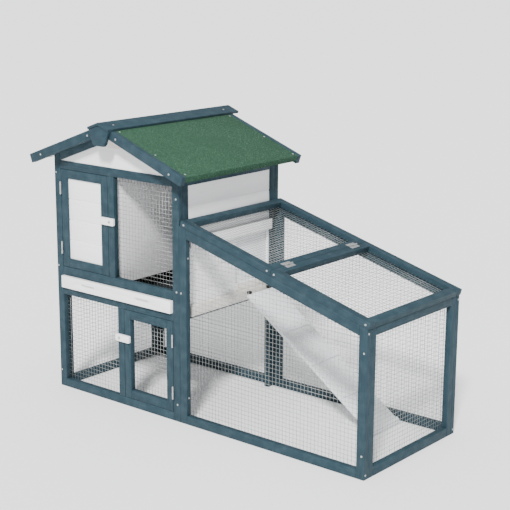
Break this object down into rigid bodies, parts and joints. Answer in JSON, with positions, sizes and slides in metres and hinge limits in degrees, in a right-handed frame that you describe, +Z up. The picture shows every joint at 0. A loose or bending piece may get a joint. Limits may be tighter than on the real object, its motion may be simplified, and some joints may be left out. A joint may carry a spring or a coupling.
{
  "type": "rabbit hutch",
  "caption": "Two-storey rabbit hutch with a pitched felt roof, plank and wire doors, pull-out tray, sliding wall door and ramp into a low wire run with a hinged lid.",
  "frame": {"origin": "on the ground under the middle of the hutch's overall box", "axes": "+X from the house to the low end of the run, +Y from the front to the back, +Z up"},
  "size_m": [1.2678, 0.588, 0.8865],
  "materials": {
    "blue_paint": "blue-grey painted fir",
    "white_paint": "white painted fir boards",
    "green_felt": "green mineral roofing felt",
    "wire": "galvanised welded wire",
    "plated_steel": "zinc plated steel",
    "dark_steel": "dark steel",
    "black_plastic": "black moulded plastic"
  },
  "bodies": {
    "hutch": {"apex_plate": "blue_paint", "back_frame": "blue_paint", "back_planks": "white_paint", "barge_boards": "blue_paint", "door_hinge_plates": "plated_steel", "doorway_threshold": "white_paint", "frame_screws": "plated_steel", "front_post_left": "blue_paint", "front_post_right": "blue_paint", "front_rails": "blue_paint", "gable_panels": "white_paint", "gable_rails": "blue_paint", "left_planks": "white_paint", "left_side_frame": "blue_paint", "lid_hinge_plates": "plated_steel", "lower_back_mesh": "wire", "lower_front_mesh": "wire", "lower_left_mesh": "wire", "lower_mullion": "blue_paint", "partition": "white_paint", "ramp_brackets": "dark_steel", "ridge_cap": "blue_paint", "ridge_purlin": "blue_paint", "right_planks": "white_paint", "right_side_frame": "blue_paint", "roof_decks": "blue_paint", "roof_felt": "green_felt", "run_back_frame": "blue_paint", "run_back_mesh": "wire", "run_end_frame": "blue_paint", "run_end_mesh": "wire", "run_front_frame": "blue_paint", "run_front_mesh": "wire", "run_roof_panel_frame": "blue_paint", "run_roof_panel_mesh": "wire", "slide_guides": "white_paint", "tray_runners": "blue_paint", "turn_button_screws": "plated_steel", "upper_mullion": "blue_paint", "wall_batten": "white_paint", "wall_skirting": "white_paint", "window_mesh": "wire"},
    "upper_door": {"upper_door_frame": "blue_paint", "upper_door_planks": "white_paint", "upper_door_hinges": "plated_steel"},
    "lower_door": {"lower_door_frame": "blue_paint", "lower_door_mesh": "wire", "lower_door_hinges": "plated_steel"},
    "upper_button": {"upper_turn_button": "white_paint"},
    "lower_button": {"lower_turn_button": "white_paint"},
    "tray": {"tray_pan": "black_plastic", "tray_front": "white_paint"},
    "run_lid": {"run_lid_frame": "blue_paint", "run_lid_mesh": "wire", "lid_hinges": "plated_steel", "lid_screws": "plated_steel"},
    "wall_door": {"sliding_door": "white_paint"},
    "ramp": {"ramp_board": "white_paint", "ramp_cleats": "white_paint", "ramp_hooks": "dark_steel"}
  },
  "joints": [
    {"name": "upper_door_swing", "type": "hinge", "parent": "hutch", "child": "upper_door", "pos_m": [-0.54593, -0.2338, 0.5595], "axis": [0, 0, -1], "range_deg": [0, 170]},
    {"name": "lower_door_swing", "type": "hinge", "parent": "hutch", "child": "lower_door", "pos_m": [-0.07193, -0.2338, 0.169], "axis": [0, 0, 1], "range_deg": [0, 170]},
    {"name": "upper_button_turn", "type": "hinge", "parent": "hutch", "child": "upper_button", "pos_m": [-0.32493, -0.2353, 0.577], "axis": [0, 1, 0], "range_deg": [-90, 90]},
    {"name": "lower_button_turn", "type": "hinge", "parent": "hutch", "child": "lower_button", "pos_m": [-0.29093, -0.2353, 0.218], "axis": [0, 1, 0], "range_deg": [-90, 90]},
    {"name": "tray_pull", "type": "slide", "parent": "hutch", "child": "tray", "axis": [0, -1, 0], "range_m": [0, 0.35]},
    {"name": "run_lid_lift", "type": "hinge", "parent": "hutch", "child": "run_lid", "pos_m": [0.30158, -0.001, 0.53324], "axis": [0, 1, 0], "range_deg": [0, 170]},
    {"name": "wall_door_slide", "type": "slide", "parent": "hutch", "child": "wall_door", "axis": [0, -1, 0], "range_m": [0, 0.15499]},
    {"name": "ramp_lift", "type": "hinge", "parent": "hutch", "child": "ramp", "pos_m": [-0.02593, 0.1185, 0.345], "axis": [0, -1, 0], "range_deg": [0, 35]}
  ]
}
